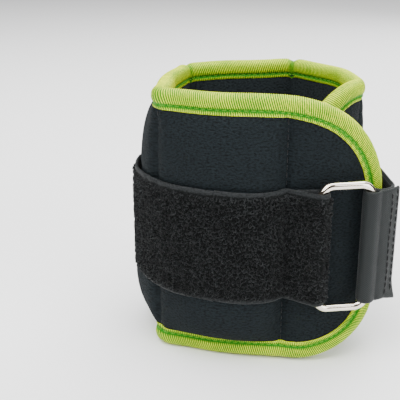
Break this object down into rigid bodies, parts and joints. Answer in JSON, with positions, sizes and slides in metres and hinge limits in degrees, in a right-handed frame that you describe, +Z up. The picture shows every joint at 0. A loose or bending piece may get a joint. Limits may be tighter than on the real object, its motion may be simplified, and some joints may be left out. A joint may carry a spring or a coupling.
{
  "type": "ankle cuff weight",
  "caption": "Soft wrap-round ankle weight cuff with padded iron-filled pockets, ribbed edge binding, a metal ring and a hook-and-loop strap.",
  "frame": {"origin": "centre of the footprint, on the plane the bottom rim stands on", "axes": "+Z up through the ankle opening, the front pocket and the ring face -Y, the strap closes on the +X side"},
  "size_m": [0.1152, 0.1042, 0.12],
  "materials": {
    "neoprene_cover": "fine black knit faced neoprene, matt",
    "neoprene_lining": "black knit faced neoprene, matt",
    "edge_binding": "lime green ribbed tape, soft sheen",
    "loop_pile": "black woven loop pile",
    "webbing": "grey black twill webbing, slight sheen",
    "hook_tape": "black moulded hooks on tape",
    "dark_thread": "black polyester thread",
    "pouch_cloth": "grey coated nylon",
    "iron_shot": "loose iron shot, dull",
    "foam": "closed cell foam sheet",
    "ring_metal": "polished nickel plated steel wire"
  },
  "bodies": {
    "front_pocket": {"front_bottom_binding": "edge_binding", "front_cover": "neoprene_cover", "front_iron_shot": "iron_shot", "front_lining": "neoprene_lining", "front_pile_strap": "loop_pile", "front_top_binding": "edge_binding", "front_weight_pouch": "pouch_cloth"},
    "left_pocket": {"left_bottom_binding": "edge_binding", "left_cover": "neoprene_cover", "left_iron_shot": "iron_shot", "left_lining": "neoprene_lining", "left_pile_strap": "loop_pile", "left_top_binding": "edge_binding", "left_weight_pouch": "pouch_cloth"},
    "back_pocket": {"back_bottom_binding": "edge_binding", "back_cover": "neoprene_cover", "back_iron_shot": "iron_shot", "back_lining": "neoprene_lining", "back_pile_strap": "loop_pile", "back_top_binding": "edge_binding", "back_weight_pouch": "pouch_cloth"},
    "right_pocket": {"right_bottom_binding": "edge_binding", "right_cover": "neoprene_cover", "right_iron_shot": "iron_shot", "right_lining": "neoprene_lining", "right_pile_strap": "loop_pile", "right_top_binding": "edge_binding", "right_weight_pouch": "pouch_cloth"},
    "inner_flap": {"inner_flap_binding": "edge_binding", "inner_flap_cover": "neoprene_cover", "inner_flap_foam": "foam", "inner_flap_lining": "neoprene_lining"},
    "outer_flap": {"outer_flap_binding": "edge_binding", "outer_flap_cover": "neoprene_cover", "outer_flap_foam": "foam", "outer_flap_lining": "neoprene_lining", "pile_strap_ring_loop": "loop_pile"},
    "ring": {"ring": "ring_metal"},
    "hook_strap": {"hook_strap_thread": "dark_thread", "hook_strap_webbing": "webbing", "hook_tape": "hook_tape"}
  },
  "joints": [
    {"name": "flap_open", "type": "hinge", "parent": "front_pocket", "child": "outer_flap", "pos_m": [0.00672, -0.04396, 0.06], "axis": [0, 0, -1], "range_deg": [0, 80]},
    {"name": "ring_swivel", "type": "hinge", "parent": "outer_flap", "child": "ring", "pos_m": [0.02047, -0.04762, 0.06], "axis": [0, 0, -1], "range_deg": [0, 40]},
    {"name": "strap_peel", "type": "hinge", "parent": "ring", "child": "hook_strap", "pos_m": [0.04184, -0.04448, 0.06], "axis": [0, 0, -1], "range_deg": [0, 113]},
    {"name": "cuff_open", "type": "hinge", "parent": "front_pocket", "child": "left_pocket", "pos_m": [-0.04913, -0.02803, 0.06], "axis": [0, 0, 1], "range_deg": [0, 75]},
    {"name": "back_seam_open", "type": "hinge", "parent": "left_pocket", "child": "back_pocket", "pos_m": [-0.03873, 0.033, 0.06], "axis": [0, 0, 1], "range_deg": [0, 27]},
    {"name": "right_seam_open", "type": "hinge", "parent": "back_pocket", "child": "right_pocket", "pos_m": [0.01956, 0.04557, 0.06], "axis": [0, 0, 1], "range_deg": [0, 19]},
    {"name": "inner_flap_fold", "type": "hinge", "parent": "right_pocket", "child": "inner_flap", "pos_m": [0.03633, -0.00626, 0.06], "axis": [0, 0, -1], "range_deg": [0, 50]}
  ],
  "couplings": [
    {"joint": "strap_peel", "follows": "cuff_open", "ratio": 1.5},
    {"joint": "back_seam_open", "follows": "cuff_open", "ratio": 0.35},
    {"joint": "right_seam_open", "follows": "cuff_open", "ratio": 0.25}
  ]
}
